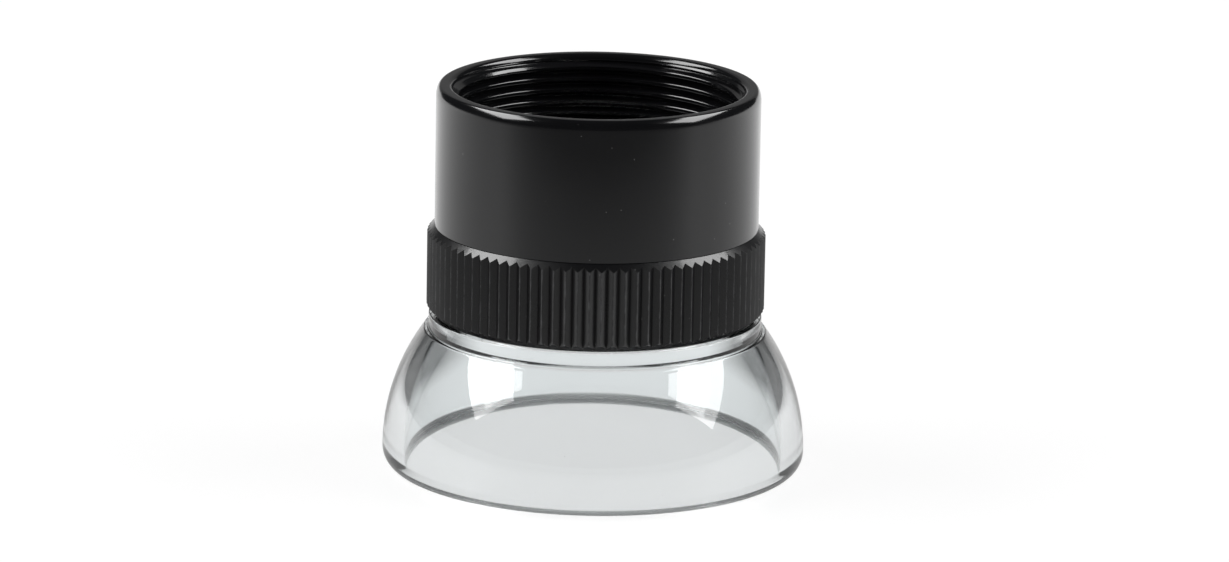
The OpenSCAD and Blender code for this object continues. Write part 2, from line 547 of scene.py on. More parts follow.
def knurl_tree(columns: int) -> GeometryTree:
    """The tree of a straight knurl: one tooth, repeated round the axis.

    Args:
        columns: Steps across a tooth.

    Returns:
        The tree.
    """
    number = "NodeSocketFloat"
    g = GeometryTree("straight_knurl", {
        "Radius": number, "Depth": number, "Land": number, "Softness": number,
        "Low": number, "High": number, "Low Chamfer": number, "High Chamfer": number,
        "Teeth": "NodeSocketInt", "Material": "NodeSocketMaterial",
    })
    radius, depth = g.input("Radius"), g.input("Depth")
    low, high = g.input("Low"), g.input("High")
    low_cut, high_cut = g.input("Low Chamfer"), g.input("High Chamfer")
    sheet = g.node("GeometryNodeMeshGrid", Size_X=1.0, Size_Y=1.0, Vertices_X=columns + 1, Vertices_Y=4)
    place = g.node("GeometryNodeInputPosition")
    split = g.node("ShaderNodeSeparateXYZ", Vector=place.outputs[0])
    across = split.outputs[0]
    row = g.math("ROUND", g.math("MULTIPLY", g.math("ADD", split.outputs[1], 0.5), 3.0))
    from_crest = g.math("MULTIPLY", g.math("ABSOLUTE", across), 2.0)
    fall = g.math("DIVIDE", g.math("SUBTRACT", from_crest, g.input("Land")),
                  g.math("SUBTRACT", 1.0, g.input("Land")))
    soft = g.math("SMOOTH_MAX", fall, 0.0, g.input("Softness"))
    groove = g.math("SUBTRACT", radius, g.math("MULTIPLY", depth, soft))
    low_end = g.math("SUBTRACT", radius, low_cut)
    high_end = g.math("SUBTRACT", radius, high_cut)
    low_edge = g.math("ADD", low, g.math("SUBTRACT", groove, low_end))
    high_edge = g.math("SUBTRACT", high, g.math("SUBTRACT", groove, high_end))
    reach = pick_row(g, row, [low_end, groove, groove, high_end])
    height = pick_row(g, row, [low, low_edge, high_edge, high])
    angle = g.math("DIVIDE", g.math("MULTIPLY", across, TAU), g.input("Teeth"))
    spot = g.node("ShaderNodeCombineXYZ", X=g.math("MULTIPLY", reach, g.math("COSINE", angle)),
                  Y=g.math("MULTIPLY", reach, g.math("SINE", angle)), Z=height)
    tooth = g.node("GeometryNodeSetPosition", Geometry=sheet.outputs[0], Position=spot.outputs[0])
    places = g.node("GeometryNodeMeshLine", Count=g.input("Teeth"))
    places.inputs["Offset"].default_value = (0, 0, 0)
    index = g.node("GeometryNodeInputIndex")
    share = g.math("DIVIDE", g.math("MULTIPLY", index.outputs[0], TAU), g.input("Teeth"))
    turned = g.node("ShaderNodeCombineXYZ", Z=share)
    ring = g.node("GeometryNodeInstanceOnPoints", Points=places.outputs[0],
                  Instance=tooth.outputs[0], Rotation=turned.outputs[0])
    g.finish(ring.outputs[0], g.input("Material"))
    return g


def pick_row(g: GeometryTree, row: bpy.types.NodeSocket, values: list[object]) -> bpy.types.NodeSocket:
    """Picks a value by row number.

    Args:
        g: The tree.
        row: The row number.
        values: One value for each row.

    Returns:
        The value of the row.
    """
    switch = g.tree.nodes.new("GeometryNodeIndexSwitch")
    switch.data_type = "FLOAT"
    while len(switch.index_switch_items) < len(values):
        switch.index_switch_items.new()
    g.feed(switch.inputs[0], row)
    for socket, value in zip(list(switch.inputs)[1:], values):
        g.feed(socket, value)
    return switch.outputs[0]


# ---------------------------------------------------------------- shader groups


class ShaderTree(TreeWriter):
    """Writes a shader tree: a node group or a material."""

    def fade(self, value: bpy.types.NodeSocket, across: Point, ends: Point) -> bpy.types.NodeSocket:
        """Lets a value lead smoothly from one end to another.

        Args:
            value: What leads it.
            across: Where it starts and ends.
            ends: The result at the start and at the end.

        Returns:
            The result.
        """
        node = self.node("ShaderNodeMapRange", Value=value, From_Min=across[0], From_Max=across[1],
                         To_Min=ends[0], To_Max=ends[1])
        return node.outputs[0]

    def blend(self, share: object, first: object, second: object) -> bpy.types.NodeSocket:
        """Mixes two colours.

        Args:
            share: How much of the second, from 0 to 1.
            first: A colour or socket.
            second: A colour or socket.

        Returns:
            The mixed colour.
        """
        made = self.tree.nodes.new("ShaderNodeMix")
        made.data_type = "RGBA"
        self.feed(made.inputs["Factor"], share)
        for label, value in (("A", first), ("B", second)):
            socket = next(s for s in made.inputs if s.name == label and s.type == "RGBA")
            self.feed(socket, (*value, 1.0) if isinstance(value, tuple) else value)
        return next(s for s in made.outputs if s.type == "RGBA")


class Effects:
    """The effects that several finishes share, each a node group built once."""

    LINE_DRIFT = 60.0               # how fast a turning line changes round the piece
    GLINT_AND_RUB_SCALE = 900.0               # fineness of the patches of wear and painted glint
    GLINT_AND_RUB_RANGE: Point = (0.42, 0.68)  # noise below the first leaves the edge plain, above the second gives it full wear and painted glint

    def __init__(self) -> None:
        """Builds every group."""
        self.turning = self.turning_marks()
        self.grain = self.fine_grain()
        self.edge = self.edge_wear_and_glint()
        self.dust = self.settled_dust()

    @staticmethod
    def group(name: str, inputs: dict[str, float],
              outputs: list[str]) -> tuple[ShaderTree, bpy.types.Node, bpy.types.Node]:
        """Makes an empty group.

        Args:
            name: Name of the group.
            inputs: Each input's name and default.
            outputs: Names of the outputs.

        Returns:
            The tree with its input and output nodes.
        """
        tree = bpy.data.node_groups.new(name, "ShaderNodeTree")
        for label, value in inputs.items():
            made = tree.interface.new_socket(name=label, in_out="INPUT", socket_type="NodeSocketFloat")
            made.default_value = value
        for label in outputs:
            tree.interface.new_socket(name=label, in_out="OUTPUT", socket_type="NodeSocketFloat")
        return ShaderTree(tree), tree.nodes.new("NodeGroupInput"), tree.nodes.new("NodeGroupOutput")

    @staticmethod
    def round_place(s: ShaderTree) -> tuple[bpy.types.NodeSocket, bpy.types.NodeSocket, bpy.types.NodeSocket]:
        """Reads the Object coordinates.

        Args:
            s: The tree that reads them.

        Returns:
            The radius from the axis, the height and the coordinates themselves.
        """
        place = s.node("ShaderNodeTexCoord").outputs["Object"]
        split = s.node("ShaderNodeSeparateXYZ", Vector=place)
        square = s.math("ADD", s.math("POWER", split.outputs[0], 2.0), s.math("POWER", split.outputs[1], 2.0))
        return s.math("SQRT", square), split.outputs[2], place

    def turning_marks(self) -> bpy.types.NodeTree:
        """Fine lines that a lathe tool leaves round the axis.

        Returns:
            The group.
        """
        s, given, out = self.group("turning_marks", {"Spacing": 0.06 * MM}, ["Lines"])
        radius, height, place = self.round_place(s)
        along = s.math("DIVIDE", s.math("ADD", radius, height), given.outputs["Spacing"])
        split = s.node("ShaderNodeSeparateXYZ", Vector=place)
        drift = s.node("ShaderNodeCombineXYZ", X=along,
                       Y=s.math("MULTIPLY", split.outputs[0], self.LINE_DRIFT),
                       Z=s.math("MULTIPLY", split.outputs[1], self.LINE_DRIFT))
        noise = s.node("ShaderNodeTexNoise", Vector=drift.outputs[0], Scale=1.0, Detail=2.0, Roughness=0.6)
        s.feed(out.inputs["Lines"], s.math("SUBTRACT", noise.outputs[0], 0.5))
        return s.tree

    def fine_grain(self) -> bpy.types.NodeTree:
        """The etched grain of an anodised face, and broad cloudy change over it.

        Returns:
            The group.
        """
        s, given, out = self.group(
            "fine_grain", {"Size": 0.03 * MM, "Cloud Size": 4 * MM}, ["Grain", "Clouds"])
        place = s.node("ShaderNodeTexCoord").outputs["Object"]
        small = s.node("ShaderNodeTexNoise", Vector=place, Scale=s.math("DIVIDE", 1.0, given.outputs["Size"]),
                       Detail=3.0, Roughness=0.65)
        broad = s.node("ShaderNodeTexNoise", Vector=place, Detail=2.0, Roughness=0.5,
                       Scale=s.math("DIVIDE", 1.0, given.outputs["Cloud Size"]))
        s.feed(out.inputs["Grain"], s.math("SUBTRACT", small.outputs[0], 0.5))
        s.feed(out.inputs["Clouds"], s.math("SUBTRACT", broad.outputs[0], 0.5))
        return s.tree

    def edge_wear_and_glint(self) -> bpy.types.NodeTree:
        """Wear and a painted glint along one round edge, given by its radius and height, broken up into
        patches.

        Returns:
            The group.
        """
        s, given, out = self.group(
            "edge_wear_and_glint", {"Radius": 14 * MM, "Height": 0.0, "Width": 0.1 * MM, "Level": 1.0}, ["Mask"])
        radius, height, place = self.round_place(s)
        off_r = s.math("SUBTRACT", radius, given.outputs["Radius"])
        above = s.math("SUBTRACT", height, given.outputs["Height"])
        off_z = s.math("MULTIPLY", above, given.outputs["Level"])
        away = s.math("SQRT", s.math("ADD", s.math("POWER", off_r, 2.0), s.math("POWER", off_z, 2.0)))
        near = s.math("SUBTRACT", 1.0, s.math("DIVIDE", away, given.outputs["Width"]), clamp=True)
        rubbed = s.node("ShaderNodeTexNoise", Vector=place, Scale=self.GLINT_AND_RUB_SCALE, Detail=4.0, Roughness=0.7)
        patchy = s.node("ShaderNodeMapRange", Value=rubbed.outputs[0], From_Min=self.GLINT_AND_RUB_RANGE[0],
                        From_Max=self.GLINT_AND_RUB_RANGE[1])
        s.feed(out.inputs["Mask"], s.math("MULTIPLY", near, patchy.outputs[0], clamp=True))
        return s.tree

    def settled_dust(self) -> bpy.types.NodeTree:
        """Sparse specks of dust, as a mask.

        Returns:
            The group.
        """
        s, given, out = self.group("settled_dust", {"Spacing": 1.4 * MM, "Speck": 0.035}, ["Specks"])
        place = s.node("ShaderNodeTexCoord").outputs["Object"]
        cells = s.node("ShaderNodeTexVoronoi", {"feature": "F1"}, Vector=place,
                       Scale=s.math("DIVIDE", 1.0, given.outputs["Spacing"]), Randomness=1.0)
        inside = s.math("LESS_THAN", cells.outputs["Distance"], given.outputs["Speck"])
        s.feed(out.inputs["Specks"], inside)
        return s.tree


# ---------------------------------------------------------------- finishes


class EdgeGlintAndWear(Enum):
    """How the wear and painted glint of an edge are measured: on a circle, or on a whole cylinder."""

    CIRCLE = 1.0
    CYLINDER = 0.0


@dataclass(frozen=True)
class Anodised:
    """Black anodised aluminium, turned and then dyed."""

    name: str
    colour: Colour = (0.0035, 0.0035, 0.004)
    roughness: float = 0.13
    grain_height: float = 0.0016
    line_height: float = 0.0020
    line_spacing: float = 0.06
    index: float = 1.5
    coat: float = 0.3
    edge: Point = (14.0, 33.0)
    edge_width: float = 0.12
    edge_kind: EdgeGlintAndWear = EdgeGlintAndWear.CIRCLE
    glint_and_wear: float = 0.35
    # colour of the marked edge: partly bare metal from wear, partly a painted glint
    bare_and_glint: Colour = (0.20, 0.20, 0.21)
    dust: Colour = (0.35, 0.35, 0.34)
    dust_cover: float = 0.25
    cloud_contrast: float = 0.2
    cloud_roughness: float = 0.10
    grain_roughness: float = 0.12
    line_roughness: float = 0.10
    coat_roughness: float = 0.07

    def build(self, effects: Effects) -> bpy.types.Material:
        """Makes the material.

        Args:
            effects: The shared node groups.

        Returns:
            The material.
        """
        material, s, shader = principled(self.name)
        grain = s.node("ShaderNodeGroup", {"node_tree": effects.grain})
        lines = s.node("ShaderNodeGroup", {"node_tree": effects.turning}, Spacing=self.line_spacing * MM)
        edge = s.node("ShaderNodeGroup", {"node_tree": effects.edge}, Radius=self.edge[0] * MM,
                      Height=self.edge[1] * MM, Width=self.edge_width * MM, Level=self.edge_kind.value)
        dust = s.node("ShaderNodeGroup", {"node_tree": effects.dust})
        # lightens the marked edge towards that colour: partly real wear, partly a painted glint on crests,
        # lips and bevels
        worn_and_glinting = s.math("MULTIPLY", edge.outputs["Mask"], self.glint_and_wear)
        cloudy = s.blend(s.math("ADD", 0.5, grain.outputs["Clouds"], clamp=True),
                         tuple((1 - self.cloud_contrast) * c for c in self.colour),
                         tuple((1 + self.cloud_contrast) * c for c in self.colour))
        rubbed = s.blend(worn_and_glinting, cloudy, self.bare_and_glint)
        dusty = s.math("MULTIPLY", dust.outputs["Specks"], self.dust_cover)
        s.feed(shader.inputs["Base Color"], s.blend(dusty, rubbed, self.dust))
        rough: object = self.roughness
        for source, share in ((grain.outputs["Clouds"], self.cloud_roughness),
                              (grain.outputs["Grain"], self.grain_roughness),
                              (lines.outputs["Lines"], self.line_roughness)):
            rough = s.math("ADD", rough, s.math("MULTIPLY", source, share))
        s.feed(shader.inputs["Roughness"], s.math("ADD", rough, s.math("MULTIPLY", dusty, 0.5), clamp=True))
        shader.inputs["IOR"].default_value = self.index
        shader.inputs["Coat Weight"].default_value = self.coat
        shader.inputs["Coat Roughness"].default_value = self.coat_roughness
        height = s.math("ADD", s.math("MULTIPLY", grain.outputs["Grain"], self.grain_height * MM),
                        s.math("MULTIPLY", lines.outputs["Lines"], self.line_height * MM))
        bump = s.node("ShaderNodeBump", Height=height, Strength=1.0, Distance=1.0)
        s.feed(shader.inputs["Normal"], bump.outputs[0])
        return material


@dataclass(frozen=True)
class Acrylic:
    """Clear moulded and polished acrylic, rubbed matt round its foot."""

    name: str
    colour: Colour = (0.925, 0.95, 0.955)
    index: float = 1.491
    roughness: float = 0.03
    foot_roughness: float = 0.5
    foot_band: float = 0.9
    ripple: float = 0.010
    ripple_scale: float = 140.0
    grain_size: float = 0.2
    cloud_lift: float = 0.01
    grain_haze: float = 0.02
    dust_haze: float = 0.25

    def build(self, effects: Effects) -> bpy.types.Material:
        """Makes the material.

        Args:
            effects: The shared node groups.

        Returns:
            The material.
        """
        material, s, shader = principled(self.name)
        place = s.node("ShaderNodeTexCoord").outputs["Object"]
        grain = s.node("ShaderNodeGroup", {"node_tree": effects.grain}, Size=self.grain_size * MM)
        dust = s.node("ShaderNodeGroup", {"node_tree": effects.dust}, Spacing=2.2 * MM, Speck=0.02)
        tint = s.blend(s.math("ADD", 0.5, grain.outputs["Clouds"], clamp=True), self.colour,
                       tuple(min(c + self.cloud_lift, 1.0) for c in self.colour))
        s.feed(shader.inputs["Base Color"], tint)
        haze = s.math("MULTIPLY", s.math("ABSOLUTE", grain.outputs["Grain"]), self.grain_haze)
        haze = s.math("ADD", haze, s.math("MULTIPLY", dust.outputs["Specks"], self.dust_haze))
        height = s.node("ShaderNodeSeparateXYZ", Vector=place).outputs[2]
        rubbed = s.fade(height, (0.0, self.foot_band * MM), (self.foot_roughness, self.roughness))
        s.feed(shader.inputs["Roughness"], s.math("ADD", rubbed, haze, clamp=True))
        waves = s.node("ShaderNodeTexNoise", Vector=place, Scale=self.ripple_scale, Detail=1.0, Roughness=0.4)
        bump = s.node("ShaderNodeBump", Height=s.math("MULTIPLY", waves.outputs[0], self.ripple * MM),
                      Strength=1.0, Distance=1.0)
        s.feed(shader.inputs["Normal"], bump.outputs[0])
        shader.inputs["IOR"].default_value = self.index
        shader.inputs["Transmission Weight"].default_value = 1.0
        return material


@dataclass(frozen=True)
class LensGlass:
    """Polished crown glass, with the tint of its thin coating in the reflections."""

    name: str
    colour: Colour = (0.985, 0.995, 0.99)
    reflection: Colour = (0.75, 0.85, 1.0)
    index: float = 1.517
    polish: float = 0.004
    ground_radius: float = 10.45
    ground: Colour = (0.55, 0.56, 0.55)
    ground_roughness: float = 0.5
    dust_haze: float = 0.3

    def build(self, effects: Effects) -> bpy.types.Material:
        """Makes the material.

        Args:
            effects: The shared node groups.

        Returns:
            The material.
        """
        material, s, shader = principled(self.name)
        radius, _, _ = Effects.round_place(s)
        dust = s.node("ShaderNodeGroup", {"node_tree": effects.dust}, Spacing=2.6 * MM, Speck=0.018)
        ground = s.math("GREATER_THAN", radius, self.ground_radius * MM)
        s.feed(shader.inputs["Base Color"], s.blend(ground, self.colour, self.ground))
        rough = s.math("ADD", s.math("MULTIPLY", ground, self.ground_roughness),
                       s.math("MULTIPLY", dust.outputs["Specks"], self.dust_haze))
        s.feed(shader.inputs["Roughness"], s.math("ADD", self.polish, rough, clamp=True))
        shader.inputs["IOR"].default_value = self.index
        shader.inputs["Specular Tint"].default_value = (*self.reflection, 1.0)
        shader.inputs["Transmission Weight"].default_value = 1.0
        return material


@dataclass(frozen=True)
class PaleFloor:
    """The plain pale sheet that the loupe stands on.

    The camera sees it evenly lit. Reflections find its front dim, as if in the camera's shade, and
    its raised back dim too. Rays through the clear skirt find it dim away from the loupe, most of
    all towards the two back corners.
    """

    name: str
    colour: Colour = (0.12, 0.12, 0.12)
    glow: float = 0.86
    front_fade: Point = (-0.14, 0.12)
    front_shade: float = 0.88
    wall_fade: Point = (0.02, 0.12)
    wall_shade: float = 0.85
    near_shade: float = 0.17
    rim_fade: Point = (0.042, 0.062)
    rim_shade: float = 0.50
    side_fade: Point = (0.012, 0.024)
    back_fade: Point = (0.020, 0.036)
    corner_shade: float = 0.86
    roughness: float = 0.45
    tooth_roughness: float = 0.1
    tooth_scale: float = 1500.0

    def build(self) -> bpy.types.Material:
        """Makes the material.

        Returns:
            The material.
        """
        material, s, shader = principled(self.name)
        place = s.node("ShaderNodeTexCoord").outputs["Object"]
        tooth = s.node("ShaderNodeTexNoise", Vector=place, Scale=self.tooth_scale, Detail=2.0)
        uneven = s.math("MULTIPLY", tooth.outputs[0], self.tooth_roughness)
        s.feed(shader.inputs["Roughness"], s.math("ADD", self.roughness, uneven))
        split = s.node("ShaderNodeSeparateXYZ", Vector=place)
        away = s.node("ShaderNodeVectorMath", {"operation": "LENGTH"}, Vector=place)
        front = s.fade(split.outputs[1], self.front_fade, (self.front_shade, 0.0))
        rim = s.fade(away.outputs["Value"], self.rim_fade, (self.near_shade, self.rim_shade))
        side = s.fade(s.math("ABSOLUTE", split.outputs[0]), self.side_fade, (0.0, 1.0))
        back = s.fade(split.outputs[1], self.back_fade, (0.0, self.corner_shade))
        path = s.node("ShaderNodeLightPath")
        through = path.outputs["Is Transmission Ray"]
        only_mirrored = s.math("SUBTRACT", path.outputs["Is Glossy Ray"], through, clamp=True)
        wall = s.fade(split.outputs[2], self.wall_fade, (0.0, self.wall_shade))
        mirrored = s.math("MULTIPLY", s.math("MAXIMUM", front, wall), only_mirrored)
        bent = s.math("MULTIPLY", s.math("MAXIMUM", rim, s.math("MULTIPLY", side, back)), through)
        shaded = s.math("MAXIMUM", mirrored, bent)
        s.feed(shader.inputs["Base Color"], s.blend(shaded, self.colour, BLACK))
        s.feed(shader.inputs["Emission Color"], s.blend(shaded, WHITE, BLACK))
        shader.inputs["Emission Strength"].default_value = self.glow
        return material


def principled(name: str) -> tuple[bpy.types.Material, ShaderTree, bpy.types.Node]:
    """Makes a material with a Principled shader.

    Args:
        name: Name of the material.

    Returns:
        The material, its tree and its shader.
    """
    material = bpy.data.materials.new(name)
    material.use_nodes = True
    shader = next(n for n in material.node_tree.nodes if n.type == "BSDF_PRINCIPLED")
    return material, ShaderTree(material.node_tree), shader


# ---------------------------------------------------------------- the loupe


class Body(Enum):
    """The bodies that the pieces ride on."""

    BASE = "base"
    OPTICS = "optics"
    BARREL = "barrel"


def settle(piece: bpy.types.Object, body: Body, node: str) -> None:
    """Lets a piece ride on its body in place of its CAD node.

    Args:
        piece: The finished piece.
        body: The body that it rides on.
        node: The CAD node that it stands for.
    """
    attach(piece, body.value)
    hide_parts(node)


@dataclass
class Trees:
    """The generated surfaces that the sub-assemblies share."""

    thread: GeometryTree
    knurl: GeometryTree


@dataclass
class BellSkirt:
    """The clear skirt: bell, flange and threaded neck. Millimetres."""

    span: Span
    bell_top: float = 12.0
    belly: float = 1.4
    wall: float = 1.85
    foot_rounding: float = 1.2
    flange_radius: float = 14.375
    flange_top: float = 13.4
    crease_step: float = 0.37
    bore: float = 12.85
    relief: float = 13.25
    relief_height: float = 0.35
    thread_crest: float = 13.6
    thread_root: float = 13.3
    thread_end: float = 13.2

    def focus_thread(self) -> Thread:
        """The neck's outside thread.

        Returns:
            The thread.
        """
        return Thread(crest=self.thread_crest, root=self.thread_root,
                      low=self.flange_top + self.relief_height, low_radius=self.relief,
                      high=self.span.high, high_radius=self.thread_end,
                      side=Side.OUTSIDE, pitch=FOCUS_PITCH, starts=FOCUS_STARTS)

    def outline(self, thread: Thread) -> list[Corner]:
        """The skirt's outline from the top of its thread, through the inside, to the thread's foot.

        Args:
            thread: The neck's thread.

        Returns:
            The corners.
        """
        foot = self.span.radius
        top = self.flange_radius + self.crease_step
        throat = top - self.wall
        inside = arc(foot - self.wall, self.belly, throat, self.bell_top, 0.0, 40)
        outside = arc(foot, self.belly, top, self.bell_top, self.belly, 44)
        foot_edge = ellipse((foot - self.foot_rounding, self.belly), (self.foot_rounding, self.belly), -90, 0)
        return [
            Corner(thread.high_radius, thread.high),
            Corner(self.bore, thread.high, 0.15),
            Corner(self.bore, self.bell_top + 0.06, 0.05),
            *inside[:0:-1],
            Corner(inside[0].radius, 0.0, 0.03),
            *foot_edge[:-1],
            *outside[:-1],
            Corner(top, self.bell_top, 0.16),
            Corner(self.flange_radius, self.bell_top, 0.14),
            Corner(self.flange_radius, self.flange_top, 0.12),
            Corner(self.relief, self.flange_top, 0.1),
            Corner(self.relief, thread.low),
        ]

    def build(self, trees: Trees, acrylic: bpy.types.Material) -> bpy.types.Object:
        """Makes the skirt.

        Args:
            trees: The generated surfaces.
            acrylic: Its finish.

        Returns:
            The piece.
        """
        thread = self.focus_thread()
        solid = Solid()
        solid.turn(rounded(self.outline(thread), closed=False), closed=False)
        solid.add(thread.wall(trees.thread, acrylic))
        piece = solid.finish("clear_bell_skirt", acrylic)
        settle(piece, Body.BASE, "clear_skirt")
        return piece


@dataclass
class FocusRing:
    """The knurled ring that screws on the neck. Millimetres."""

    span: Span
    barrel_foot: float
    teeth: int = 90
    knurl_depth: float = 0.36
    land: float = 0.05
    softness: float = 0.02
    top_chamfer: float = 0.62
    low_chamfer: float = 0.70
    spigot_bore: float = 13.52
    thread_mouth: float = 13.7
    thread_crest: float = 13.37
    thread_root: float = 13.66
    run_out: float = 0.25

    def focus_thread(self) -> Thread:
        """The ring's inside thread, which runs on the neck's.

        Returns:
            The thread.
        """
        return Thread(crest=self.thread_crest, root=self.thread_root, low=self.span.low,
                      low_radius=self.thread_mouth, high=self.barrel_foot - self.run_out,
                      high_radius=self.thread_mouth, side=Side.INSIDE, pitch=FOCUS_PITCH, starts=FOCUS_STARTS)

    def build(self, trees: Trees, black: bpy.types.Material) -> bpy.types.Object:
        """Makes the ring.

        Args:
            trees: The generated surfaces.
            black: Its finish.

        Returns:
            The piece.
        """
        thread = self.focus_thread()
        radius, low, high = self.span.radius, self.span.low, self.span.high
        solid = Solid()
        solid.add(thread.wall(trees.thread, black))
        solid.add(trees.knurl.make({
            "Radius": radius * MM, "Depth": self.knurl_depth * MM, "Land": self.land,
            "Softness": self.softness, "Low": low * MM, "High": high * MM,
            "Low Chamfer": self.low_chamfer * MM, "High Chamfer": self.top_chamfer * MM,
            "Teeth": self.teeth, "Material": black,
        }))
        solid.turn(rounded([
            Corner(self.spigot_bore, high),
            Corner(self.spigot_bore, self.barrel_foot, 0.1),
            Corner(self.thread_mouth, self.barrel_foot, 0.05),
            Corner(self.thread_mouth, thread.high),
        ], closed=False), closed=False)
        solid.weld()
        solid.close_between((self.spigot_bore * MM, high * MM), ((radius - self.top_chamfer) * MM, high * MM))
        solid.close_between((self.thread_mouth * MM, low * MM), ((radius - self.low_chamfer) * MM, low * MM))
        piece = solid.finish("knurled_focus_ring", black)
        settle(piece, Body.BARREL, "knurled_ring")
        return piece


@dataclass
class LensBarrel:
    """The barrel: spigot, lens bore, eyepiece thread and rounded lip. Millimetres."""

    span: Span
    ring_top: float
    retainer_foot: float
    spigot: float = 13.50
    lens_bore: float = 10.55
    seat_bore: float = 9.3
    seat: float = 0.8
    thread_crest: float = 11.96
    thread_root: float = 12.5
    mouth: float = 12.52
    relief: float = 12.6
    lip_rounding: Point = (0.45, 1.0)
    lip_inside: float = 0.45
    thread_start: float = 0.1
    relief_drop: float = 0.25

    def eyepiece_thread(self) -> Thread:
        """The thread inside the lip.

        Returns:
            The thread.
        """
        return Thread(crest=self.thread_crest, root=self.thread_root,
                      low=self.retainer_foot + self.thread_start,
                      low_radius=self.relief, high=self.span.high - self.lip_inside, high_radius=self.mouth,
                      side=Side.INSIDE)

    def build(self, trees: Trees, black: bpy.types.Material) -> bpy.types.Object:
        """Makes the barrel.

        Args:
            trees: The generated surfaces.
            black: Its finish.

        Returns:
            The piece.
        """
        thread = self.eyepiece_thread()
        low, high, radius = self.span.low, self.span.high, self.span.radius
        floor = self.retainer_foot - self.relief_drop
        inside: Point = (self.lip_inside, self.lip_inside)
        lip_centre: Point = (radius - self.lip_rounding[0], high - self.lip_rounding[1])
        solid = Solid()
        solid.turn(rounded([
            *ellipse((self.mouth + self.lip_inside, thread.high), inside, 180, 90, 8),
            *ellipse(lip_centre, self.lip_rounding, 90, 0),
            Corner(radius, self.ring_top + 0.02, 0.06),
            Corner(self.spigot, self.ring_top + 0.02, 0.05),
            Corner(self.spigot, low, 0.2),
            Corner(self.seat_bore + 0.35, low, 0.06),
            Corner(self.seat_bore, low + 0.35, 0.05),
            Corner(self.seat_bore, low + self.seat, 0.05),
            Corner(self.lens_bore, low + self.seat),
            Corner(self.lens_bore, floor, 0.1),
            Corner(self.relief, floor, 0.1),
            Corner(self.relief, thread.low),
        ], closed=False), closed=False)
        solid.add(thread.wall(trees.thread, black))
        piece = solid.finish("lens_barrel", black)
        settle(piece, Body.BARREL, "barrel_tube")
        return piece


@dataclass
class Retainer:
    """The slotted ring that clamps the lens stack. Millimetres."""

    span: Span
    bore: float = 9.3
    slot_width: float = 1.2
    slot_depth: float = 0.6
    bevel: float = 0.7
    thread_crest: float = 12.42
    thread_root: float = 11.9
    thread_end: float = 11.8

    def build(self, trees: Trees, black: bpy.types.Material) -> bpy.types.Object:
        """Makes the ring, with its two spanner slots.

        Args:
            trees: The generated surfaces.
            black: Its finish.

        Returns:
            The piece.
        """
        low, high = self.span.low, self.span.high
        thread = Thread(crest=self.thread_crest, root=self.thread_root, low=low, low_radius=self.thread_end,
                        high=high, high_radius=self.thread_end, side=Side.OUTSIDE)
        solid = Solid()
        solid.turn(rounded([
            Corner(thread.high_radius, high),
            Corner(self.bore + self.bevel, high, 0.1),
            Corner(self.bore, high - self.bevel, 0.1),
            Corner(self.bore, low, 0.05),
            Corner(thread.low_radius, low),
        ], closed=False), closed=False)
        solid.add(thread.wall(trees.thread, black))
        piece = solid.finish("slotted_retainer", black)
        self.cut_slots(piece)
        settle(piece, Body.BARREL, "retaining_ring")
        return piece

    def cut_slots(self, piece: bpy.types.Object) -> None:
        """Cuts the spanner slots across the top.

        Args:
            piece: The ring, which is changed.
        """
        bar = bmesh.new()
        size = (4 * self.span.radius * MM, self.slot_width * MM, 2 * self.slot_depth * MM)
        matrix = Matrix.Translation((0, 0, self.span.high * MM)) @ Matrix.Diagonal((*size, 1))
        bmesh.ops.create_cube(bar, size=1.0, matrix=matrix)
        data = bpy.data.meshes.new("slot_cutter")
        bar.to_mesh(data)
        bar.free()
        cutter = bpy.data.objects.new("slot_cutter", data)
        bpy.context.scene.collection.objects.link(cutter)
        modifier = piece.modifiers.new("slots", "BOOLEAN")
        modifier.object = cutter
        modifier.operation = "DIFFERENCE"
        modifier.solver = "EXACT"
        seen = piece.evaluated_get(bpy.context.evaluated_depsgraph_get())
        cut = bpy.data.meshes.new_from_object(seen)
        piece.modifiers.clear()
        piece.data = cut
        bpy.data.objects.remove(cutter)
        cut.set_sharp_from_angle(angle=SHARP)


